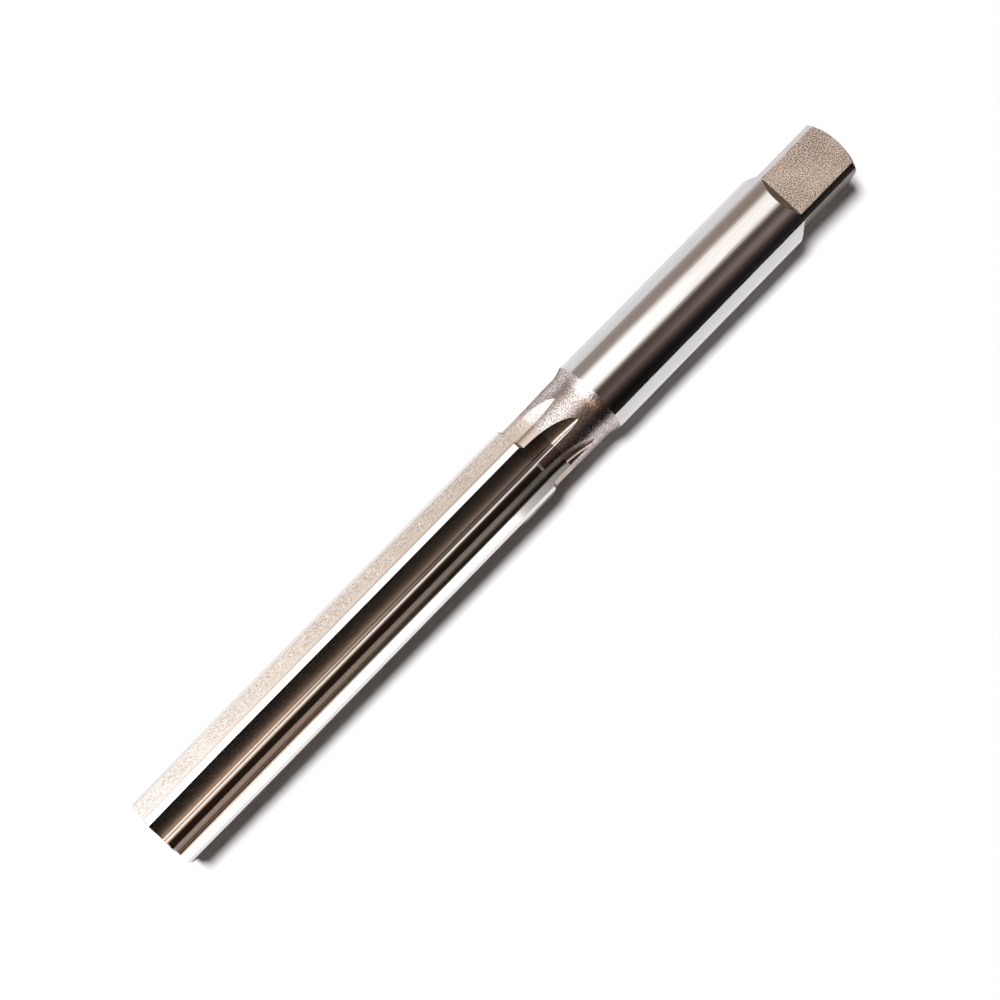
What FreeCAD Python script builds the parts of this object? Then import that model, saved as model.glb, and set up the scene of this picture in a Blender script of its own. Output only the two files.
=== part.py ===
import FreeCAD, Part
import math
import os
import Sketcher

V = FreeCAD.Vector
doc = FreeCAD.newDocument("reamer")

# A right-hand hand reamer, in mm and degrees. The tool lies along X with its
# square towards +X, and a flat of the square faces +Z.
sizes = doc.addObject("Spreadsheet::Sheet", "sizes")
driving = [
    ("total_length", 163.0, "end face to end face"),
    ("cut_dia", 14.5, "over the cutting edges"),
    ("shank_dia", 14.5, "plain shank"),
    ("cut_length", 87.0, "fluted cutting part with its back bevel"),
    ("lead_length", 17.0, "taper lead at the cutting end"),
    ("lead_drop", 0.15, "radius lost over the taper lead"),
    ("tip_bevel", 0.5, "45 degree bevel on the front of the teeth"),
    ("neck_length", 15.0, "back bevel to shank"),
    ("neck_dia", 13.3, "plain neck"),
    ("flare_length", 2.7, "hollow blend from neck to shank"),
    ("tooth_count", 8, "straight teeth"),
    ("tooth_phase", 20.0, "turn from the square's flat to a cutting edge"),
    ("land_angle", 11.0, "width of a land as an angle"),
    ("rake_depth", 1.45, "straight part of the radial rake face"),
    ("root_radius", 0.6, "round at the bottom of a flute"),
    ("back_radius", 12.0, "hollow back of a flute"),
    ("wheel_radius", 34.0, "run-out of a flute"),
    ("flute_overrun", 0.2, "full depth of a flute past the back bevel"),
    ("margin_width", 0.25, "round margin behind a cutting edge"),
    ("relief_angle", 8.0, "clearance behind the margin"),
    ("square_size", 11.2, "across the flats of the square"),
    ("square_length", 13.9, "flats of the square"),
    ("end_bevel", 1.05, "bevel on the shank end"),
    ("end_face_dia", 11.0, "face inside that bevel"),
    ("centre_dia", 4.2, "mouth of the 60 degree centre holes"),
    ("pilot_dia", 2.0, "pilot of the centre holes"),
    ("pilot_depth", 4.0, "depth of the centre holes"),
    ("overcut", 1.5, "how far a cutting profile stands outside the blank"),
]
for row, (name, value, note) in enumerate(driving, start=1):
    sizes.set("A%d" % row, name)
    sizes.set("B%d" % row, str(value))
    sizes.setAlias("B%d" % row, name)
    sizes.set("C%d" % row, note)

# Radii, stations from the cutting end, and points of the flute section, whose
# upright is a rake face. They all follow from the sizes above.
places = doc.addObject("Spreadsheet::Sheet", "places")
derived = [
    ("cut_rad", "sizes.cut_dia / 2"),
    ("shank_rad", "sizes.shank_dia / 2"),
    ("neck_rad", "sizes.neck_dia / 2"),
    ("pilot_rad", "sizes.pilot_dia / 2"),
    ("centre_rad", "sizes.centre_dia / 2"),
    ("end_face_rad", "sizes.end_face_dia / 2"),
    ("cone_end", "(centre_rad - pilot_rad) / tan(30 deg)"),
    ("tip_rad", "cut_rad - sizes.lead_drop"),
    ("tip_face_rad", "tip_rad - sizes.tip_bevel"),
    ("back_bevel", "sizes.cut_length - (cut_rad - neck_rad)"),
    ("shank_start", "sizes.cut_length + sizes.neck_length"),
    ("flare_start", "shank_start - sizes.flare_length"),
    ("end_bevel_start", "sizes.total_length - sizes.end_bevel"),
    ("back_pilot", "sizes.total_length - sizes.pilot_depth"),
    ("back_cone", "sizes.total_length - cone_end"),
    ("outside", "max(cut_rad; shank_rad) + sizes.overcut"),
    ("root_centre", "cut_rad - sizes.rake_depth"),
    ("wheel_axis", "root_centre - sizes.root_radius + sizes.wheel_radius"),
    ("runout_start", "sizes.cut_length + sizes.flute_overrun"),
    ("flute_angle", "360 / sizes.tooth_count - sizes.land_angle"),
    ("heel_side", "cut_rad * sin(flute_angle * 1 deg)"),
    ("heel_up", "cut_rad * cos(flute_angle * 1 deg)"),
    ("margin_up", "sqrt(cut_rad * cut_rad - sizes.margin_width * sizes.margin_width)"),
    ("relief_side", "cut_rad * sin(sizes.land_angle * 1 deg) + sizes.margin_width"),
    ("relief_slope", "tan(asin(sizes.margin_width / cut_rad) + sizes.relief_angle * 1 deg)"),
    ("relief_up", "margin_up - (relief_side - sizes.margin_width) * relief_slope"),
    ("front_drop", "sizes.lead_drop * (sizes.lead_length + sizes.overcut) / sizes.lead_length"),
    ("front_margin_up", "margin_up - front_drop"),
    ("front_relief_up", "relief_up - front_drop"),
    ("relief_length", "sizes.cut_length - sizes.lead_length"),
    ("flat_height", "sizes.square_size / 2"),
    ("flat_start", "sizes.total_length - sizes.square_length"),
    ("flat_end", "sizes.total_length + sizes.overcut"),
    ("shoulder_start", "flat_start - (outside - flat_height)"),
]
for row, (name, formula) in enumerate(derived, start=1):
    places.set("A%d" % row, name)
    places.set("B%d" % row, "=" + formula)
    places.setAlias("B%d" % row, name)
doc.recompute()
cells = {name: "sizes." + name for name, value, note in driving}
cells.update({name: "places." + name for name, formula in derived})


def number(name):
    """The present value of a cell; a leading minus turns its sign."""
    plain = name.lstrip("-")
    sheet = places if cells[plain].startswith("places") else sizes
    value = float(getattr(sheet, plain))
    return value if plain == name else -value


def follow(name):
    """The same cell as an expression."""
    plain = name.lstrip("-")
    return cells[plain] if plain == name else "-" + cells[plain]


def from_origin(body, role):
    return [item for item in body.Origin.OriginFeatures if item.Role == role][0]


def new_sketch(body, name, role):
    sketch = body.newObject("Sketcher::SketchObject", name)
    sketch.AttachmentSupport = [(from_origin(body, role), "")]
    sketch.MapMode = "FlatFace"
    return sketch


def hold(sketch, edge, end, across, up):
    """Hold a point at two cells, measured from the sketch's own axes."""
    for kind, name, axis in (("DistanceX", across, -2), ("DistanceY", up, -1)):
        if name == "axis":
            sketch.addConstraint(Sketcher.Constraint("PointOnObject", edge, end, axis))
        else:
            spot = sketch.addConstraint(Sketcher.Constraint(kind, edge, end, number(name)))
            sketch.setExpression("Constraints[%d]" % spot, follow(name))


def run_round(sketch, corners, arcs):
    """Close an outline through corners, each a pair of cells or a free point.

    arcs gives the edges that are arcs, by their first corner, and a point that
    each of them passes near. Returns each edge with its first and last end.
    """
    spots = []
    for corner in corners:
        if isinstance(corner, tuple):
            across, up = [0.0 if name == "axis" else number(name) for name in corner]
            corner = V(across, up, 0)
        spots.append(corner)
    edges = []
    for i, start in enumerate(spots):
        stop = spots[(i + 1) % len(spots)]
        if i in arcs:
            edge = sketch.addGeometry(Part.Arc(start, arcs[i], stop), False)
            forward = sketch.getPoint(edge, 1).distanceToPoint(start) < 1e-3
            edges.append((edge, 1, 2) if forward else (edge, 2, 1))
        else:
            edges.append((sketch.addGeometry(Part.LineSegment(start, stop), False), 1, 2))
    for i, (edge, first, last) in enumerate(edges):
        following, its_first, its_last = edges[(i + 1) % len(edges)]
        smooth = (i + 1) % len(edges) in arcs
        kind = "Tangent" if smooth else "Coincident"
        sketch.addConstraint(Sketcher.Constraint(kind, edge, last, following, its_first))
        if isinstance(corners[i], tuple):
            hold(sketch, edge, first, *corners[i])
    return edges


body = doc.addObject("PartDesign::Body", "body")
body.Label = "reamer"
body.setExpression("Placement.Base.x", "-sizes.total_length / 2")

# The turned blank: half its outline from the cutting end round to the axis.
blank_outline = new_sketch(body, "blank_outline", "XZ_Plane")
run_round(
    blank_outline,
    [
        ("pilot_depth", "axis"),
        ("pilot_depth", "pilot_rad"),
        ("cone_end", "pilot_rad"),
        ("axis", "centre_rad"),
        ("axis", "tip_face_rad"),
        ("tip_bevel", "tip_rad"),
        ("lead_length", "cut_rad"),
        ("back_bevel", "cut_rad"),
        ("cut_length", "neck_rad"),
        ("flare_start", "neck_rad"),
        ("shank_start", "shank_rad"),
        ("end_bevel_start", "shank_rad"),
        ("total_length", "end_face_rad"),
        ("total_length", "centre_rad"),
        ("back_cone", "pilot_rad"),
        ("back_pilot", "pilot_rad"),
        ("back_pilot", "axis"),
    ],
    {
        9: V(
            number("shank_start") - number("flare_length") / 2,
            number("neck_rad") * 0.75 + number("shank_rad") * 0.25,
            0,
        )
    },
)
blank = body.newObject("PartDesign::Revolution", "blank")
blank.Profile = blank_outline
blank.ReferenceAxis = (from_origin(body, "X_Axis"), [""])
blank.Angle = 360
doc.recompute()
blank_volume = body.Shape.Volume

# One flute. Its section has a radial rake face, a round root and a hollow back
# that rises to the heel of the land in front.
root = V(number("root_radius"), number("root_centre"), 0)
heel = V(number("heel_side"), number("heel_up"), 0)
reach = number("back_radius") - number("root_radius")
line = heel - root
along = (reach**2 - number("back_radius") ** 2 + line.Length**2) / (2 * line.Length)
rise = math.sqrt(max(reach**2 - along**2, 0))
unit = line / line.Length
back = root + unit * along + V(-unit.y, unit.x, 0) * rise
low = root + (root - back) / (root - back).Length * number("root_radius")
root_dip = (V(0, number("root_centre"), 0) + low) * 0.5 - root
back_dip = (low + heel) * 0.5 - back
flute_section = new_sketch(body, "flute_section", "YZ_Plane")
flute_section.setExpression("AttachmentOffset.Base.z", follow("runout_start"))
flute_section.setExpression("AttachmentOffset.Rotation.Angle", follow("tooth_phase"))
edges = run_round(
    flute_section,
    [
        ("axis", "outside"),
        ("axis", "root_centre"),
        low,
        ("heel_side", "heel_up"),
        ("heel_side", "outside"),
    ],
    {
        1: root + root_dip / root_dip.Length * number("root_radius"),
        2: back + back_dip / back_dip.Length * number("back_radius"),
    },
)
for edge, name in ((edges[1][0], "root_radius"), (edges[2][0], "back_radius")):
    spot = flute_section.addConstraint(Sketcher.Constraint("Radius", edge, number(name)))
    flute_section.setExpression("Constraints[%d]" % spot, follow(name))

# The axis of the disc that cuts the flute and leaves its curved run-out.
disc_line = Part.LineSegment(
    V(0, number("wheel_axis"), 0), V(number("heel_side"), number("wheel_axis"), 0)
)
disc_edge = flute_section.addGeometry(disc_line, True)
hold(flute_section, disc_edge, 1, "axis", "wheel_axis")
hold(flute_section, disc_edge, 2, "heel_side", "wheel_axis")

flute = body.newObject("PartDesign::Pocket", "flute")
flute.Profile = flute_section
flute.Type = "ThroughAll"
runout = body.newObject("PartDesign::Groove", "runout")
runout.Profile = flute_section
runout.ReferenceAxis = (flute_section, ["Axis0"])
runout.Midplane = True
runout.Angle = 70
teeth = body.newObject("PartDesign::PolarPattern", "teeth")
teeth.Originals = [flute, runout]
teeth.Axis = (from_origin(body, "X_Axis"), [""])
teeth.Angle = 360
teeth.setExpression("Occurrences", follow("tooth_count"))
body.Tip = teeth
doc.recompute()
teeth_volume = body.Shape.Volume

# Land relief: a plane that starts behind the round margin and falls to the
# heel, level along the body of the tool and following the taper at its lead.
def relief_section(name, margin, heel):
    section = new_sketch(body, name, "YZ_Plane")
    section.setExpression("AttachmentOffset.Rotation.Angle", follow("tooth_phase"))
    run_round(
        section,
        [
            ("-margin_width", margin),
            ("-relief_side", heel),
            ("-relief_side", "outside"),
            ("-margin_width", "outside"),
        ],
        {},
    )
    return section


lead_section = relief_section("lead_section", "margin_up", "relief_up")
lead_section.setExpression("AttachmentOffset.Base.z", follow("lead_length"))
front_section = relief_section("front_section", "front_margin_up", "front_relief_up")
front_section.setExpression("AttachmentOffset.Base.z", follow("-overcut"))
relief = body.newObject("PartDesign::Pocket", "relief")
relief.Profile = lead_section
relief.Reversed = True
relief.setExpression("Length", follow("relief_length"))
lead_relief = body.newObject("PartDesign::SubtractiveLoft", "lead_relief")
lead_relief.Profile = lead_section
lead_relief.Sections = [front_section]
lead_relief.Ruled = True
lands = body.newObject("PartDesign::PolarPattern", "lands")
lands.Originals = [relief, lead_relief]
lands.Axis = (from_origin(body, "X_Axis"), [""])
lands.Angle = 360
lands.setExpression("Occurrences", follow("tooth_count"))
body.Tip = lands
doc.recompute()
lands_volume = body.Shape.Volume

# The driving square: a flat with a 45 degree shoulder, four times.
flat_outline = new_sketch(body, "flat_outline", "XZ_Plane")
run_round(
    flat_outline,
    [
        ("flat_start", "flat_height"),
        ("flat_end", "flat_height"),
        ("flat_end", "outside"),
        ("shoulder_start", "outside"),
    ],
    {},
)
flat = body.newObject("PartDesign::Pocket", "flat")
flat.Profile = flat_outline
flat.Type = "ThroughAll"
flat.SideType = "Symmetric"
square = body.newObject("PartDesign::PolarPattern", "square")
square.Originals = [flat]
square.Axis = (from_origin(body, "X_Axis"), [""])
square.Angle = 360
square.Occurrences = 4
body.Tip = square
doc.recompute()

# Every feature has to be sound, and every cut has to have taken metal away.
for item in doc.Objects:
    if "Invalid" in item.State or "Error" in item.State:
        raise RuntimeError("%s failed" % item.Name)
volumes = [blank_volume, teeth_volume, lands_volume, body.Shape.Volume]
if any(after >= before for before, after in zip(volumes, volumes[1:])):
    raise RuntimeError("a cut missed the blank")
if body.Shape.isNull() or not body.Shape.isValid() or len(body.Shape.Solids) != 1:
    raise RuntimeError("the reamer is not one sound solid")

os.makedirs("parts", exist_ok=True)
body.Shape.exportStep("parts/%s.step" % body.Label)
print("volumes", [round(volume, 1) for volume in volumes])
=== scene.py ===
import math

import bpy
import numpy as np
from mathutils import Matrix, Vector


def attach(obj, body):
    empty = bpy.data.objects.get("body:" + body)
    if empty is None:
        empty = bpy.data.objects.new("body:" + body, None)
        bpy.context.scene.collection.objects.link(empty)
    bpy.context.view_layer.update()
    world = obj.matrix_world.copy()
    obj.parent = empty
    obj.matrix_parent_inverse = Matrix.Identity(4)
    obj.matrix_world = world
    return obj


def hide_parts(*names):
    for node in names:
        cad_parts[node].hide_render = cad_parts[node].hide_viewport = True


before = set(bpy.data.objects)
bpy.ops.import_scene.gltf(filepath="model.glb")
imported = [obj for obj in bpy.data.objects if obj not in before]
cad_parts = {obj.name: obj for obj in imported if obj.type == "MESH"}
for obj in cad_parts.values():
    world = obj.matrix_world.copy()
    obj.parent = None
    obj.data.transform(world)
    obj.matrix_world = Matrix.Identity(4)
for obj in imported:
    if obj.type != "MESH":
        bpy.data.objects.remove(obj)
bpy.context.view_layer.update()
print("frame loaded")

# Sizes of the tool in mm, from the cutting end (x = 0) to the square, then how finely
# it is drawn.
reamer = {
    "length": 163.0,
    "radius": 7.25,
    "leadLength": 17.0,
    "leadDrop": 0.15,
    "tipBevel": 0.25,
    "cutLength": 87.0,
    "neckRadius": 6.65,
    "shankStart": 102.0,
    "flareLength": 2.7,
    "teeth": 8,
    "toothPhase": 20.0,
    "landAngle": 11.0,
    "rakeDepth": 1.45,
    "rootRadius": 0.6,
    "backRadius": 12.0,
    "wheelRadius": 34.0,
    "runoutStart": 87.2,
    "marginWidth": 0.25,
    "reliefAngle": 8.0,
    "flatHeight": 5.6,
    "flatStart": 149.1,
    "endBevel": 1.05,
    "endFaceRadius": 5.5,
    "centreRadius": 2.1,
    "pilotRadius": 1.0,
    "pilotDepth": 4.0,
    "blastStart": 90.95,      # the blasted finish starts here and runs to the shank
    "fluteColumns": 34,       # grid columns of one flute
    "landColumns": 10,        # grid columns of one land
    "backPoints": 160,        # points of the flute's section on its hollow back,
    "rootPoints": 119,        # round the root
    "rakePoints": 80,         # and on the rake face
    "rakeBegins": 98,         # the rake's finish begins at this point of the root
    "rootCrowd": 3,           # how much closer the columns lie round the root
    "overrun": 0.2,           # the rake face is drawn this far past the outside
    "tipGap": 0.03,           # rows stand this far before and after the run-outs' tips
    "flatShare": 0.72,        # share of a quarter's columns that lie on its flat
    "leastFlat": 1.2,         # half of a flat's angle in degrees where it begins
    "frontTwist": 7.0,        # degrees the front hole's rings are turned by
}
halfLength = reamer["length"] / 2


def blankRadius(x):
    # radius of the turned bar: bevel, taper lead, body, back bevel, neck, shank, end bevel
    r = reamer
    tip = r["radius"] - r["leadDrop"]
    bevelStart = r["cutLength"] - (r["radius"] - r["neckRadius"])
    radius = np.interp(
        x,
        [0, r["tipBevel"], r["leadLength"], bevelStart, r["cutLength"]],
        [tip - r["tipBevel"], tip, r["radius"], r["radius"], r["neckRadius"]],
    )
    # the flare is an arc that leaves the neck level and meets the shank's edge
    rise = r["radius"] - r["neckRadius"]
    arc = (r["flareLength"] ** 2 + rise**2) / (2 * rise)
    along = np.clip(x - (r["shankStart"] - r["flareLength"]), 0, r["flareLength"])
    radius = radius + arc - np.sqrt(arc**2 - along**2)
    endDrop = (r["radius"] - r["endFaceRadius"]) / r["endBevel"]
    return radius - np.clip(x - (r["length"] - r["endBevel"]), 0, None) * endDrop


def fluteCurve():
    # section of one flute beside its rake face: the upright is x = 0, the tooth lies at x < 0.
    # It runs from past the heel along the hollow back, round the root and up the rake face.
    r = reamer
    root = np.array([r["rootRadius"], r["radius"] - r["rakeDepth"]])
    fluteAngle = math.radians(360 / r["teeth"] - r["landAngle"])
    heel = r["radius"] * np.array([math.sin(fluteAngle), math.cos(fluteAngle)])
    line = heel - root
    gap = np.hypot(*line)
    reach = r["backRadius"] - r["rootRadius"]
    along = (reach**2 - r["backRadius"] ** 2 + gap**2) / (2 * gap)
    rise = math.sqrt(reach**2 - along**2)
    unit = line / gap
    back = root + unit * along + np.array([-unit[1], unit[0]]) * rise
    heelTurn = math.atan2(*(heel - back)[::-1])
    lowTurn = math.atan2(*(root - back)[::-1])
    pastHeel = heelTurn + 0.02
    backTurns = np.linspace(pastHeel, lowTurn, r["backPoints"])
    backPart = back + r["backRadius"] * np.stack([np.cos(backTurns), np.sin(backTurns)], 1)
    rootTurns = np.linspace(lowTurn, -math.pi, r["rootPoints"] + 1)[1:]
    rootPart = root + r["rootRadius"] * np.stack([np.cos(rootTurns), np.sin(rootTurns)], 1)
    rakeTop = r["radius"] + r["overrun"]
    rakeHeights = np.linspace(root[1], rakeTop, r["rakePoints"] + 1)[1:]
    rakePart = np.stack([np.zeros(r["rakePoints"]), rakeHeights], 1)
    curve = np.concatenate([backPart, rootPart, rakePart])
    pace = np.hypot(*np.diff(curve, axis=0).T)
    lastRoot = r["backPoints"] + r["rootPoints"] - 1
    pace[r["backPoints"]:lastRoot] *= r["rootCrowd"]
    return curve, np.concatenate([[0], np.cumsum(pace)])


def landRadius(x, turn):
    # outside of a tooth at an angle past its cutting edge: round margin, then the relief plane
    r = reamer
    lead = blankRadius(np.clip(x, r["tipBevel"], r["cutLength"] - 1)) - r["radius"]
    edge = math.asin(r["marginWidth"] / r["radius"])
    slope = edge + math.radians(r["reliefAngle"])
    upright = math.sqrt(r["radius"] ** 2 - r["marginWidth"] ** 2) + lead
    distance = upright * math.cos(slope) + r["marginWidth"] * math.sin(slope)
    plane = distance / np.cos(turn - slope)
    relieved = (x < r["cutLength"]) & (turn > edge) & (turn < 0.6)
    return np.where(relieved, np.minimum(blankRadius(x), plane), blankRadius(x))


def toothRow(x, curve, pace):
    # angles and radii of one tooth pitch at station x: a flute, then the land after it
    r = reamer
    pitch = 2 * math.pi / r["teeth"]
    wheelAxis = r["radius"] - r["rakeDepth"] - r["rootRadius"] + r["wheelRadius"]
    ahead = max(0.0, x - r["runoutStart"])
    lifted = wheelAxis - np.sqrt((wheelAxis - curve[:, 1]) ** 2 - ahead**2)
    radius = np.hypot(curve[:, 0], lifted)
    turn = np.arctan2(-curve[:, 0], lifted)      # 0 on the rake line, negative into the flute
    outer = landRadius(np.full(len(turn), x), np.where(turn < -0.05, turn + pitch, turn))
    depth = outer - radius
    inside = np.flatnonzero(depth > 0)
    if len(inside) < 2:
        return None
    first, last = inside[0], inside[-1]
    start = np.interp(0, [depth[first - 1], depth[first]], [pace[first - 1], pace[first]])
    stop = np.interp(0, [depth[last + 1], depth[last]], [pace[last + 1], pace[last]])
    steps = start + (stop - start) * np.linspace(0, 1, r["fluteColumns"] + 1)
    across = np.interp(steps, pace, curve[:, 0])
    up = np.interp(steps, pace, lifted)
    fluteTurn = np.arctan2(-across, up)
    fluteRadius = np.hypot(across, up)
    landTurn = np.linspace(fluteTurn[-1], fluteTurn[0] + pitch, r["landColumns"] + 1)[1:-1]
    outline = np.concatenate([fluteTurn, landTurn])
    radii = np.concatenate([fluteRadius, landRadius(np.full(len(landTurn), x), landTurn)])
    # columns at which the finishes of the root and of the rake face begin
    begins = [r["backPoints"], r["backPoints"] + r["rakeBegins"]]
    marks = (pace[begins] - start) / (stop - start) * r["fluteColumns"]
    return outline, radii, marks


def smooth(t):
    t = np.clip(t, 0, 1)
    return t * t * (3 - 2 * t)


def quarterWave(number):
    # 0 to 1, with the steps closing up towards 1
    return np.sin(np.linspace(0, math.pi / 2, number))


def reamerGrid():
    # rows of points round the axis, from the front centre hole to the back one
    r = reamer
    curve, pace = fluteCurve()
    teeth = r["teeth"]
    pitch = 2 * math.pi / teeth
    perTooth = r["fluteColumns"] + r["landColumns"]
    count = teeth * perTooth
    bevelStart = r["cutLength"] - (r["radius"] - r["neckRadius"])
    # the run-out ends where its arc has climbed to the neck
    climb = np.linspace(r["runoutStart"], r["shankStart"], 4000)
    tipAt = climb[np.argmax([toothRow(x, curve, pace) is None for x in climb])]
    fluted = np.concatenate([
        np.linspace(0, r["tipBevel"], 3),
        np.linspace(r["tipBevel"], r["leadLength"], 12)[1:],
        np.linspace(r["leadLength"], bevelStart, 30)[1:],
        np.linspace(bevelStart, r["cutLength"], 4)[1:],
        np.linspace(r["cutLength"], r["blastStart"], 14)[1:],
        r["blastStart"] + (tipAt - r["blastStart"]) * quarterWave(40)[1:-1],
        [tipAt - r["tipGap"]],
    ])
    rows, turns, marks = [], [], []
    for x in fluted:
        turn, radius, mark = toothRow(x, curve, pace)
        marks.append(mark)
        turns.append((turn[None, :] + pitch * np.arange(teeth)[:, None]).ravel())
        rows.append(np.tile(radius, teeth))
    # past the run-outs the columns spread until they are even
    even = turns[0][0] + 2 * math.pi * np.arange(count) / count
    plain = np.concatenate([
        np.linspace(tipAt + r["tipGap"], r["shankStart"] - r["flareLength"], 8),
        np.linspace(r["shankStart"] - r["flareLength"], r["shankStart"], 14)[1:],
    ])
    squeezed = turns[-1]
    for x in plain:
        share = smooth((x - tipAt) / (r["shankStart"] - tipAt))
        turns.append(squeezed * (1 - share) + even * share)
        rows.append(np.full(count, blankRadius(x)))
    # the shank, then flats whose edges the columns follow
    apex = r["flatStart"] - (r["radius"] - r["flatHeight"])
    endStart = r["length"] - r["endBevel"]
    bevelSlope = r["endBevel"] / (r["radius"] - r["endFaceRadius"])
    meet = r["length"] - (r["flatHeight"] - r["endFaceRadius"]) * bevelSlope
    square = np.concatenate([
        np.linspace(r["shankStart"], apex - 2, 24)[1:],
        apex - np.array([1.2, 0.6, 0.25, 0.08, 0.0]),
        apex + np.array([0.004, 0.015, 0.04, 0.08, 0.14, 0.22, 0.32, 0.45, 0.62, 0.82, 1.05, 1.35]),
        np.linspace(r["flatStart"], endStart, 10),
        endStart + (meet - endStart) * quarterWave(12)[1:],
        [r["length"]],
    ])
    quarter = count // 4
    phase = math.radians(r["toothPhase"])
    middle = round((math.pi / 2 - phase - even[0]) / (2 * math.pi / count))
    order = np.arange(count)
    side = (order - middle + quarter // 2) // quarter
    place = (order - middle - side * quarter) / (quarter / 2)
    flatShare = r["flatShare"]
    for x in square:
        radius = float(blankRadius(x))
        height = r["flatHeight"] + max(0.0, r["flatStart"] - x)
        edge = max(math.acos(min(1.0, height / radius)), math.radians(r["leastFlat"]))
        inFlat = np.abs(place) <= flatShare
        beside = (np.abs(place) - flatShare) / (1 - flatShare)
        local = np.where(
            inFlat,
            place / flatShare * edge,
            np.sign(place) * (edge + beside * (math.pi / 4 - edge)),
        )
        target = local + side * math.pi / 2 + math.pi / 2 - phase
        share = smooth((x - r["shankStart"]) / (apex - 6 - r["shankStart"]))
        turn = even * (1 - share) + target * share
        away = (turn + phase + math.pi / 4) % (math.pi / 2) - math.pi / 4
        turns.append(turn)
        rows.append(np.minimum(radius, height / np.cos(away)))
    stations = np.concatenate([fluted, plain, square])
    marks = np.array(marks + [marks[-1]] * (len(stations) - len(marks)))
    return stations, np.array(turns), np.array(rows), marks, place, apex, tipAt


def ring(x, radius, turn):
    # one row of points round the axis
    return np.stack([np.full(len(turn), x), -radius * np.sin(turn), radius * np.cos(turn)], 1)


def reamerMesh(materials):
    r = reamer
    stations, turns, radii, marks, place, apex, tipAt = reamerGrid()
    perTooth = r["fluteColumns"] + r["landColumns"]
    count = turns.shape[1]
    phase = math.radians(r["toothPhase"])
    # a turn of zero is the first cutting edge, toothPhase past +Z towards -Y
    around = turns + phase
    body = np.array([ring(*row) for row in zip(stations, radii, around)])
    # centre holes: rings from the mouth down the 60 degree cone to the pilot's floor
    coneEnd = (r["centreRadius"] - r["pilotRadius"]) / math.tan(math.radians(30))
    holes = [(0.0, r["centreRadius"]), (coneEnd, r["pilotRadius"]), (r["pilotDepth"], r["pilotRadius"])]
    twist = math.radians(r["frontTwist"]) + phase
    frontTurn = turns[0][0] + 2 * math.pi * np.arange(count) / count + twist
    front = [ring(depth, radius, frontTurn) for depth, radius in holes[::-1]]
    rear = [ring(r["length"] - depth, radius, around[-1]) for depth, radius in holes]
    grid = np.concatenate([np.array(front), body, np.array(rear)])
    rowCount = len(grid)
    points = np.concatenate([
        grid.reshape(-1, 3),
        [[r["pilotDepth"], 0, 0], [r["length"] - r["pilotDepth"], 0, 0]],
    ])
    points[:, 0] -= halfLength
    column = np.arange(count)
    after = (column + 1) % count
    row = np.arange(rowCount - 1)[:, None]
    quads = np.stack([
        row * count + column, row * count + after,
        (row + 1) * count + after, (row + 1) * count + column,
    ], 2).reshape(-1, 4)
    lastRow = (rowCount - 1) * count
    fanFront = np.stack([after, column, np.full(count, rowCount * count)], 1)
    fanBack = np.stack([lastRow + column, lastRow + after, np.full(count, rowCount * count + 1)], 1)
    faces = quads.tolist() + fanFront.tolist() + fanBack.tolist()
    mesh = bpy.data.meshes.new("reamerBody")
    mesh.from_pydata((points * 0.001).tolist(), [], faces)
    # finish of each face, by its station and by whether its column is flute, land or flat
    # (the centre holes and end faces count as before the start or past the end)
    before, past = [-1] * len(holes), [r["length"] + 1] * len(holes)
    mid = np.concatenate([before, (stations[1:] + stations[:-1]) / 2, past])
    mid = np.repeat(mid[:, None], count, 1)
    inFlute = np.repeat((column % perTooth < r["fluteColumns"])[None, :], rowCount - 1, 0)
    marks = np.concatenate([marks[:3], (marks[1:] + marks[:-1]) / 2, marks[-3:]])
    inRoot = inFlute & (column % perTooth + 0.5 >= marks[:, :1])
    inRake = inFlute & (column % perTooth + 0.5 >= marks[:, 1:])
    cell = (place + place[after]) / 2
    wraps = np.abs(place[after] - place) > 1
    onFlat = (np.abs(cell) < r["flatShare"]) & ~wraps
    inFlat = np.repeat(onFlat[None, :], rowCount - 1, 0)
    bevelStart = r["cutLength"] - (r["radius"] - r["neckRadius"])
    blasted = mid > r["blastStart"]
    runout = blasted & (mid < tipAt) & inFlute
    endBevel = mid > r["length"] - r["endBevel"]
    # each finish covers what comes before it in this list
    covers = [
        ("flute", inFlute),
        ("root", inRoot),
        ("rake", inRake),
        ("bevel", (mid > bevelStart) & ~inFlute),
        ("neck", (mid > r["cutLength"]) & ~inFlute),
        ("blasted", blasted),
        ("blastedFlute", runout),
        ("blastedRake", runout & inRake),
        ("shank", mid > r["shankStart"]),
        ("square", (mid > apex) & inFlat),
        ("shoulder", (mid > apex) & (mid < r["flatStart"]) & inFlat),
        ("bevel", endBevel & ~inFlat),
        ("bevel", (mid < 0) | (mid > r["length"])),
    ]
    names = list(materials)
    zone = np.full(mid.shape, names.index("land"))
    for name, where in covers:
        zone[where] = names.index(name)
    slots = np.concatenate([zone.ravel(), np.full(2 * count, names.index("bevel"))])
    for name in names:
        mesh.materials.append(materials[name])
    mesh.polygons.foreach_set("material_index", slots.astype(np.int32))
    mesh.update()
    mesh.shade_smooth()
    mesh.set_sharp_from_angle(angle=math.radians(12))
    piece = bpy.data.objects.new("reamerBody", mesh)
    bpy.context.scene.collection.objects.link(piece)
    return piece


def newNode(tree, kind, **settings):
    node = tree.nodes.new(kind)
    for key, value in settings.items():
        setattr(node, key, value)
    return node


def mathNode(tree, operation, first, second=None):
    node = newNode(tree, "ShaderNodeMath", operation=operation)
    for socket, value in zip(node.inputs, (first, second)):
        if value is None:
            continue
        if isinstance(value, (int, float)):
            socket.default_value = value
        else:
            tree.links.new(value, socket)
    return node.outputs[0]


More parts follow.
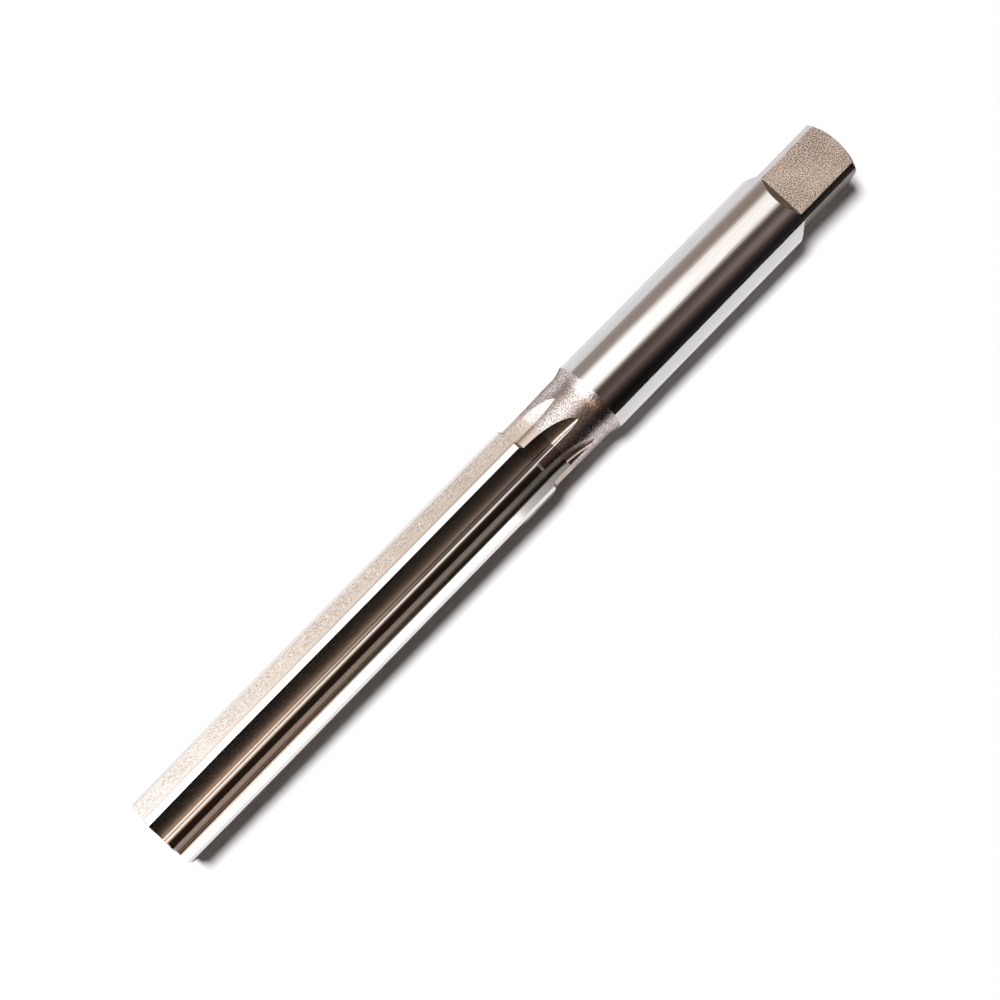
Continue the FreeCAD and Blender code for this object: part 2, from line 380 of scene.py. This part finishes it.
def spread(tree, value, low, high, start=0.0, end=1.0, kind="LINEAR"):
    # Map Range from low..high to start..end, clamped
    node = newNode(tree, "ShaderNodeMapRange", interpolation_type=kind)
    tree.links.new(value, node.inputs["Value"])
    for name, number in (("From Min", low), ("From Max", high), ("To Min", start), ("To Max", end)):
        node.inputs[name].default_value = number
    return node.outputs[0]


# Steel finishes. Each is one ground or blasted surface of the same tool steel:
# its colour and a darker tone, its colour at grazing angles, roughness and its spread,
# bump height in mm, the size of the grain in mm along and across the tool, and
# the span of the grain's noise over which one tone passes to the other.
# The painted dimming entry is the x in m where a finish starts and stops darkening, and its
# share of the colour there: painted shade that dims its reflections towards the neck. The
# painted bounce entry is the colour at the bottom of a flute: painted warm bounce light and
# shade, warmer and darker there. lean is how far the shading normal is drawn outwards at
# each end of leanSpan; it alters the look and no real shape.
plainSteel = {
    "edge": (1.0, 1.0, 1.0),
    "span": (0.34, 0.66),
    "metal": 1.0,
    "paintedDimming": None,
    "stain": None,
    "lean": None,
}
steel = {
    "flute": {
        "colour": (0.52, 0.455, 0.40), "tone": (0.27, 0.232, 0.20),
        "rough": 0.25, "vary": 0.02, "bump": 0.0010, "grain": (0.45, 0.15),
        # the flute's bottom colour is painted warm bounce light and shade
        "span": (0.42, 0.58), "stain": (0.50, 0.415, 0.345),
    },
    "root": {
        "colour": (0.40, 0.35, 0.30), "tone": (0.34, 0.295, 0.25),
        "rough": 0.20, "vary": 0.05, "bump": 0.0, "grain": (0.9, 0.13),
        # the root's darkening towards the neck is painted shade on its reflections
        "paintedDimming": (-0.055, -0.018, 0.25),
    },
    "rake": {
        "colour": (0.96, 0.94, 0.92), "tone": (0.84, 0.80, 0.76),
        "rough": 0.22, "vary": 0.06, "bump": 0.0010, "grain": (0.5, 0.15),
        # the rake's darkening towards the neck is painted shade on its reflections
        "metal": 0.45, "paintedDimming": (-0.006, 0.006, 0.60), "lean": (0.38, 1.6),
    },
    "land": {
        "colour": (0.76, 0.75, 0.74), "tone": (0.74, 0.73, 0.72),
        "rough": 0.07, "vary": 0.02, "bump": 0.0, "grain": (4.0, 0.10),
    },
    "bevel": {
        "colour": (0.27, 0.22, 0.20), "tone": (0.19, 0.15, 0.14),
        "edge": (0.8, 0.75, 0.75),
        "rough": 0.42, "vary": 0.08, "bump": 0.0030, "grain": (0.2, 0.2),
    },
    "neck": {
        "colour": (0.58, 0.51, 0.45), "tone": (0.44, 0.37, 0.31),
        "edge": (0.85, 0.75, 0.74),
        "rough": 0.20, "vary": 0.06, "bump": 0.0010, "grain": (0.4, 0.14),
    },
    "blasted": {
        "colour": (0.92, 0.865, 0.84), "tone": (0.21, 0.17, 0.155),
        "edge": (0.36, 0.285, 0.305),
        "rough": 0.23, "vary": 0.10, "bump": 0.0350, "grain": (0.22, 0.19),
        "span": (0.43, 0.57),
    },
    "blastedFlute": {
        "colour": (0.68, 0.64, 0.60), "tone": (0.32, 0.28, 0.25),
        "edge": (0.85, 0.78, 0.78),
        "rough": 0.28, "vary": 0.10, "bump": 0.0080, "grain": (0.20, 0.16),
        "span": (0.41, 0.59),
    },
    "blastedRake": {
        "colour": (0.82, 0.79, 0.75), "tone": (0.62, 0.58, 0.53),
        "rough": 0.28, "vary": 0.10, "bump": 0.0030, "grain": (0.20, 0.16),
        "span": (0.41, 0.59), "lean": (1.6, 1.6),
    },
    "shank": {
        "colour": (0.66, 0.66, 0.66), "tone": (0.585, 0.58, 0.575),
        "rough": 0.075, "vary": 0.03, "bump": 0.0060, "grain": (9.0, 0.32),
    },
    "shoulder": {
        "colour": (0.28, 0.23, 0.18), "tone": (0.17, 0.13, 0.10),
        "edge": (0.7, 0.65, 0.65),
        "rough": 0.38, "vary": 0.08, "bump": 0.0040, "grain": (0.22, 0.22),
        "span": (0.41, 0.59),
    },
    "square": {
        "colour": (0.65, 0.54, 0.455), "tone": (0.10, 0.075, 0.06),
        "edge": (0.58, 0.60, 0.65),
        "rough": 0.36, "vary": 0.14, "bump": 0.0350, "grain": (0.22, 0.20),
        "span": (0.46, 0.54),
    },
}
steelNoise = {
    "grainScale": 1000.0,          # the grain's sizes are in mm
    "grainDetail": 3.0,
    "grainRoughness": 0.65,
    "blotchScale": 160.0,
    "blotchDetail": 2.0,
    "blotchShare": 0.2,            # how much of the shade is the wide blotches
    "middle": (0.3, 0.7),          # the range most of the noise lies in
    # radii in m over which the painted warm bounce light at a flute's bottom gives way, and its share
    # at the bottom
    "stainRadius": (0.0053, 0.0060),
    "paintedBounceShare": 0.8,
    "leanSpan": (-0.004, 0.009),
}


def mixColour(tree, factor, first, second):
    node = newNode(tree, "ShaderNodeMix", data_type="RGBA")
    tree.links.new(factor, node.inputs["Factor"])
    for name, colour in (("A", first), ("B", second)):
        if isinstance(colour, tuple):
            node.inputs[name].default_value = (*colour, 1)
        else:
            tree.links.new(colour, node.inputs[name])
    return node.outputs["Result"]


def vectorNode(tree, operation, value, other=None):
    node = newNode(tree, "ShaderNodeVectorMath", operation=operation)
    tree.links.new(value, node.inputs[0])
    if other is not None:
        tree.links.new(other, node.inputs["Scale" if operation == "SCALE" else 1])
    return node.outputs[0]


def leanNormal(tree, coords, along, lean):
    # the true normal plus a share of the direction away from the tool's axis
    flatten = newNode(tree, "ShaderNodeCombineXYZ")
    split = newNode(tree, "ShaderNodeSeparateXYZ")
    tree.links.new(coords, split.inputs[0])
    tree.links.new(split.outputs["Y"], flatten.inputs["Y"])
    tree.links.new(split.outputs["Z"], flatten.inputs["Z"])
    outwards = vectorNode(tree, "NORMALIZE", flatten.outputs[0])
    share = spread(tree, along, *steelNoise["leanSpan"], *lean)
    outwards = vectorNode(tree, "SCALE", outwards, share)
    flat = newNode(tree, "ShaderNodeNewGeometry").outputs["Normal"]
    return vectorNode(tree, "NORMALIZE", vectorNode(tree, "ADD", flat, outwards))


def steelMaterial(name, finish):
    finish = {**plainSteel, **finish}
    material = bpy.data.materials.new(name + "Steel")
    material.use_nodes = True
    tree = material.node_tree
    links = tree.links
    shader = tree.nodes["Principled BSDF"]
    shader.inputs["Metallic"].default_value = finish["metal"]
    shader.inputs["Specular Tint"].default_value = (*finish["edge"], 1)
    coords = newNode(tree, "ShaderNodeTexCoord").outputs["Object"]
    place = newNode(tree, "ShaderNodeSeparateXYZ")
    links.new(coords, place.inputs[0])
    # fine grain, drawn out along the tool where the finish is ground
    along, across = finish["grain"]
    stretch = newNode(tree, "ShaderNodeMapping")
    stretch.inputs["Scale"].default_value = (1 / along, 1 / across, 1 / across)
    links.new(coords, stretch.inputs["Vector"])
    noise = newNode(tree, "ShaderNodeTexNoise")
    noise.inputs["Scale"].default_value = steelNoise["grainScale"]
    noise.inputs["Detail"].default_value = steelNoise["grainDetail"]
    noise.inputs["Roughness"].default_value = steelNoise["grainRoughness"]
    links.new(stretch.outputs[0], noise.inputs["Vector"])
    grain = noise.outputs[0]
    blotch = newNode(tree, "ShaderNodeTexNoise")
    blotch.inputs["Scale"].default_value = steelNoise["blotchScale"]
    blotch.inputs["Detail"].default_value = steelNoise["blotchDetail"]
    links.new(coords, blotch.inputs["Vector"])
    blotchShare = steelNoise["blotchShare"]
    fine = spread(tree, grain, *finish["span"], 0.0, 1 - blotchShare)
    wide = spread(tree, blotch.outputs[0], *steelNoise["middle"], 0.0, blotchShare)
    shade = mathNode(tree, "ADD", fine, wide)
    colour = mixColour(tree, shade, finish["tone"], finish["colour"])
    if finish["stain"]:
        # painted warm bounce light and shade: the bottom of each flute is tinted warmer and darker
        squares = [mathNode(tree, "POWER", place.outputs[axis], 2.0) for axis in "YZ"]
        radius = mathNode(tree, "SQRT", mathNode(tree, "ADD", *squares))
        low, high = steelNoise["stainRadius"]
        depth = spread(tree, radius, low, high, steelNoise["paintedBounceShare"], 0.0, "SMOOTHSTEP")
        colour = mixColour(tree, depth, colour, finish["stain"])
    # painted shade: the colour darkens along x, so the finish's reflections dim towards the neck
    if finish["paintedDimming"]:
        start, end, share = finish["paintedDimming"]
        level = spread(tree, place.outputs["X"], start, end, 1.0, share)
        colour = vectorNode(tree, "SCALE", colour, level)
    links.new(colour, shader.inputs["Base Color"])
    low, high = finish["rough"] - finish["vary"], finish["rough"] + finish["vary"]
    rough = spread(tree, grain, *steelNoise["middle"], high, low)
    links.new(rough, shader.inputs["Roughness"])
    normal = None
    if finish["lean"]:
        normal = leanNormal(tree, coords, place.outputs["X"], finish["lean"])
    if finish["bump"]:
        bump = newNode(tree, "ShaderNodeBump")
        bump.inputs["Distance"].default_value = finish["bump"] * 0.001
        links.new(grain, bump.inputs["Height"])
        if normal:
            links.new(normal, bump.inputs["Normal"])
        normal = bump.outputs[0]
    if normal:
        links.new(normal, shader.inputs["Normal"])
    return material


materials = {name: steelMaterial(name, finish) for name, finish in steel.items()}
body = reamerMesh(materials)
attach(body, "root")
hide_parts("reamer")
print("reamer built,", len(body.data.polygons), "faces")

# White floor under the tool, touching its shank, and a tent of light cloth over it.
stage = {
    "floorSize": 6.0,
    "floorHeight": -0.00725,
    "floorColour": (0.90, 0.90, 0.90),
    "floorRough": 0.9,
    "tentRadius": 0.9,
    "tentHalf": 1.4,
    "tentLift": 0.0001,           # the skirt ends this far above the floor
    "cutGain": (1.20, 0.78),      # level of the cloth along the cutting part, to the neck
    "cutSpan": (-0.06, 0.12),
    "tipGain": (1.40, 1.52, 1.70),    # the softbox is stronger and cooler at the tip
    "tipSpan": (-0.18, -0.06),
    "tipTurn": (0.0, 0.6),        # that gain ends over these angles, in radians
    "warmGain": (2.6, 0.0),       # the warm edge beside it fades towards the neck
    "warmSpan": (-0.18, 0.10),
    "warmStart": (-0.08, 0.08),   # angles over which the warm edge starts and ends
    "warmEnd": (0.6, 0.8),
    "warmCut": (-0.26, -0.17),    # beyond this x only warmLeft of its gain is left
    "warmLeft": 0.08,
    "changeover": (0.13, 0.19),   # the cutting part's bands give way to the shank's
    "farChange": (0.21, 0.33),    # and the shank's to those beyond the square
    "skirtFoot": 0.105,           # the dark cloth meets the floor this far out on the -Y side
}

# What the cloth shows round the tool: degrees from straight up (minus is the +Y side)
# and the colour there, beside the shank, beyond the square and beside the cutting part.
shankBands = [
    (-90, (0.95, 0.95, 0.95)),
    (-87, (0.90, 0.88, 0.88)),
    (-82, (0.47, 0.39, 0.36)),
    (-64, (0.43, 0.36, 0.31)),
    (-56, (0.44, 0.37, 0.32)),
    (-50, (0.70, 0.61, 0.55)),
    (-44, (1.25, 1.16, 1.10)),
    (-36, (1.75, 1.72, 1.68)),
    (-7, (1.75, 1.72, 1.68)),
    (-1, (1.30, 1.18, 1.14)),
    (4, (0.50, 0.41, 0.38)),
    (9, (0.17, 0.12, 0.105)),
    (15, (0.11, 0.076, 0.063)),
    (22, (0.125, 0.090, 0.077)),
    (36, (0.20, 0.146, 0.128)),
    (42, (0.135, 0.092, 0.082)),
    (48, (0.078, 0.052, 0.047)),
    (54, (0.040, 0.027, 0.024)),
    (60, (0.021, 0.015, 0.013)),
    (68, (0.008, 0.006, 0.006)),
    (80, (0.010, 0.008, 0.008)),
    (90, (0.026, 0.022, 0.022)),
]
squareBands = [
    (-90, (0.92, 0.90, 0.90)),
    (-86, (0.84, 0.80, 0.80)),
    (-78, (0.55, 0.45, 0.43)),
    (-71, (0.43, 0.34, 0.29)),
    (-52, (0.39, 0.31, 0.25)),
    (-46, (0.58, 0.49, 0.43)),
    (-40, (1.10, 1.00, 0.94)),
    (-34, (1.44, 1.35, 1.28)),
    (-20, (1.53, 1.46, 1.41)),
    (-2, (1.50, 1.42, 1.36)),
    (4, (0.84, 0.76, 0.69)),
    (10, (0.22, 0.17, 0.147)),
    (15, (0.137, 0.100, 0.087)),
    (21, (0.122, 0.088, 0.078)),
    (38, (0.31, 0.243, 0.216)),
    (43, (0.28, 0.219, 0.194)),
    (48, (0.178, 0.130, 0.118)),
    (54, (0.107, 0.075, 0.070)),
    (60, (0.058, 0.040, 0.037)),
    (68, (0.027, 0.020, 0.020)),
    (76, (0.016, 0.012, 0.013)),
    (84, (0.025, 0.021, 0.023)),
    (90, (0.040, 0.037, 0.040)),
]
cuttingBands = [
    (-90, (0.46, 0.41, 0.38)),
    (-84, (0.34, 0.275, 0.23)),
    (-58, (0.40, 0.33, 0.28)),
    (-50, (0.90, 0.82, 0.76)),
    (-44, (1.75, 1.71, 1.66)),
    (-7, (1.75, 1.71, 1.66)),
    (-1, (1.40, 1.24, 1.12)),
    (5, (0.82, 0.60, 0.42)),
    (13, (0.58, 0.385, 0.25)),
    (24, (0.45, 0.285, 0.175)),
    (34, (0.26, 0.165, 0.105)),
    (43, (0.115, 0.070, 0.041)),
    (50, (0.024, 0.0145, 0.009)),
    (55, (0.006, 0.005, 0.005)),
    (90, (0.008, 0.006, 0.006)),
]


def makeFloor():
    half = stage["floorSize"] / 2
    mesh = bpy.data.meshes.new("floor")
    sides = [(-half, -half), (half, -half), (half, half), (-half, half)]
    corners = [(*side, stage["floorHeight"]) for side in sides]
    mesh.from_pydata(corners, [], [(0, 1, 2, 3)])
    material = bpy.data.materials.new("floorWhite")
    material.use_nodes = True
    shader = material.node_tree.nodes["Principled BSDF"]
    shader.inputs["Base Color"].default_value = (*stage["floorColour"], 1)
    shader.inputs["Roughness"].default_value = stage["floorRough"]
    shader.inputs["Specular IOR Level"].default_value = 0.0
    mesh.materials.append(material)
    floor = bpy.data.objects.new("floor", mesh)
    bpy.context.scene.collection.objects.link(floor)


def bandRamp(tree, place, bands):
    ramp = newNode(tree, "ShaderNodeValToRGB")
    tree.links.new(place, ramp.inputs[0])
    stops = ramp.color_ramp.elements
    stops.remove(stops[1])
    for number, (degrees, colour) in enumerate(bands):
        position = (degrees + 90) / 180
        stop = stops[0] if number == 0 else stops.new(position)
        stop.position = position
        stop.color = (*colour, 1)
    return ramp.outputs["Color"]


def makeTent():
    # half a cylinder over the tool, from one horizon to the other, swept along x;
    # on the -Y side its last row comes in to the skirt's foot on the floor
    turns = np.radians(np.linspace(-90, 90, 61))
    across = np.append(-stage["tentRadius"] * np.sin(turns), -stage["skirtFoot"])
    foot = stage["floorHeight"] + stage["tentLift"]
    up = np.append(stage["tentRadius"] * np.cos(turns), foot)
    along = np.linspace(-stage["tentHalf"], stage["tentHalf"], 9)
    x, y = np.meshgrid(along, across, indexing="ij")
    z = np.broadcast_to(up, x.shape)
    rows, columns = x.shape
    first = (np.arange(rows - 1)[:, None] * columns + np.arange(columns - 1)).ravel()
    quads = np.stack([first, first + 1, first + columns + 1, first + columns], 1)
    mesh = bpy.data.meshes.new("lightTent")
    mesh.from_pydata(np.stack([x, y, z], 2).reshape(-1, 3).tolist(), [], quads.tolist())
    material = bpy.data.materials.new("tentCloth")
    material.use_nodes = True
    tree = material.node_tree
    tree.nodes.clear()
    coords = newNode(tree, "ShaderNodeTexCoord")
    split = newNode(tree, "ShaderNodeSeparateXYZ")
    tree.links.new(coords.outputs["Object"], split.inputs[0])
    lengthwise = split.outputs["X"]
    sideways = mathNode(tree, "MULTIPLY", split.outputs["Y"], -1)
    angle = mathNode(tree, "ARCTAN2", sideways, split.outputs["Z"])
    place = spread(tree, angle, -math.pi / 2, math.pi / 2)
    beside, square, cutting = (
        bandRamp(tree, place, bands) for bands in (shankBands, squareBands, cuttingBands))
    beyond = spread(tree, lengthwise, *stage["farChange"])
    shank = mixColour(tree, beyond, beside, square)
    # beside the cutting part: the softbox's gain at the tip
    tip = mathNode(tree, "MULTIPLY", spread(tree, lengthwise, *stage["tipSpan"], 1.0, 0.0),
                   spread(tree, angle, *stage["tipTurn"], 1.0, 0.0))
    level = newNode(tree, "ShaderNodeMix", data_type="RGBA", blend_type="MULTIPLY")
    tree.links.new(tip, level.inputs["Factor"])
    tree.links.new(cutting, level.inputs["A"])
    level.inputs["B"].default_value = (*stage["tipGain"], 1)
    # and the warm edge's own gain: 1 + (gain - 1) * warm
    warm = mathNode(tree, "MULTIPLY", spread(tree, angle, *stage["warmStart"]),
                    spread(tree, angle, *stage["warmEnd"], 1.0, 0.0))
    gain = mathNode(tree, "MULTIPLY", spread(tree, lengthwise, *stage["warmSpan"], *stage["warmGain"]),
                    spread(tree, lengthwise, *stage["warmCut"], stage["warmLeft"], 1.0))
    extra = mathNode(tree, "MULTIPLY", mathNode(tree, "SUBTRACT", gain, 1.0), warm)
    cutting = vectorNode(tree, "SCALE", level.outputs["Result"], mathNode(tree, "ADD", extra, 1.0))
    change = spread(tree, lengthwise, *stage["changeover"])
    glow = newNode(tree, "ShaderNodeEmission")
    tree.links.new(mixColour(tree, change, cutting, shank), glow.inputs["Color"])
    cut = spread(tree, lengthwise, *stage["cutSpan"], *stage["cutGain"])
    back = mathNode(tree, "MULTIPLY", change, 1 - stage["cutGain"][1])
    tree.links.new(mathNode(tree, "ADD", cut, back), glow.inputs["Strength"])
    out = newNode(tree, "ShaderNodeOutputMaterial")
    tree.links.new(glow.outputs[0], out.inputs["Surface"])
    mesh.materials.append(material)
    tent = bpy.data.objects.new("lightTent", mesh)
    bpy.context.scene.collection.objects.link(tent)
    tent.visible_camera = False
    tent.visible_diffuse = False
    tent.visible_shadow = False


makeFloor()
makeTent()

# A soft overhead lamp that leans a little to the +Y side gives the floor its light and shadow.
lamp = {
    "lean": 11.5,
    "slew": 7.0,
    "width": 14.0,
    "strength": 3.44,
    "ambient": 0.068,
    "tint": (1.0, 0.80, 0.82),
}


def makeLamp():
    data = bpy.data.lights.new("overhead", "SUN")
    data.energy = lamp["strength"]
    data.angle = math.radians(lamp["width"])
    sun = bpy.data.objects.new("overhead", data)
    lean = math.radians(lamp["lean"])
    aim = Vector((-math.sin(math.radians(lamp["slew"])), math.sin(lean), math.cos(lean)))
    sun.rotation_euler = aim.to_track_quat("Z", "Y").to_euler()
    sun.visible_glossy = False
    bpy.context.scene.collection.objects.link(sun)
    # the world is white where it is seen and a low even light for the floor
    world = bpy.data.worlds.new("studio")
    bpy.context.scene.world = world
    world.use_nodes = True
    tree = world.node_tree
    background = tree.nodes["Background"]
    path = newNode(tree, "ShaderNodeLightPath")
    seen = mathNode(tree, "MAXIMUM", path.outputs["Is Camera Ray"], path.outputs["Is Glossy Ray"])
    seen = mathNode(tree, "MAXIMUM", seen, path.outputs["Is Transmission Ray"])
    tree.links.new(mixColour(tree, seen, lamp["tint"], (1.0, 1.0, 1.0)), background.inputs["Color"])
    tree.links.new(spread(tree, seen, 0, 1, lamp["ambient"], 1.0), background.inputs["Strength"])


makeLamp()

# Camera: looks down on the tool, turned so that the tool lies across the frame.
camera = {
    "target": (-0.00273, -0.001264, 0.0),
    "distance": 0.362594,
    "azimuth": -44.002,
    "elevation": 79.957,
    "roll": -2.038,
    "focal": 77.31,
}


def makeCamera():
    turn, rise = math.radians(camera["azimuth"]), math.radians(camera["elevation"])
    back = Vector((math.sin(turn) * math.cos(rise), -math.cos(turn) * math.cos(rise), math.sin(rise)))
    right = Vector((0, 0, 1)).cross(back).normalized()
    up = back.cross(right)
    roll = math.radians(camera["roll"])
    across = right * math.cos(roll) + up * math.sin(roll)
    above = up * math.cos(roll) - right * math.sin(roll)
    data = bpy.data.cameras.new("camera")
    data.sensor_width = 36
    data.lens = camera["focal"]
    data.clip_start = 0.01
    lens = bpy.data.objects.new("camera", data)
    turnMatrix = Matrix((across, above, back)).transposed().to_4x4()
    stand = Vector(camera["target"]) + back * camera["distance"]
    lens.matrix_world = Matrix.Translation(stand) @ turnMatrix
    bpy.context.scene.collection.objects.link(lens)
    bpy.context.scene.camera = lens


makeCamera()

bpy.context.scene.view_settings.view_transform = "Standard"
print("stage set")
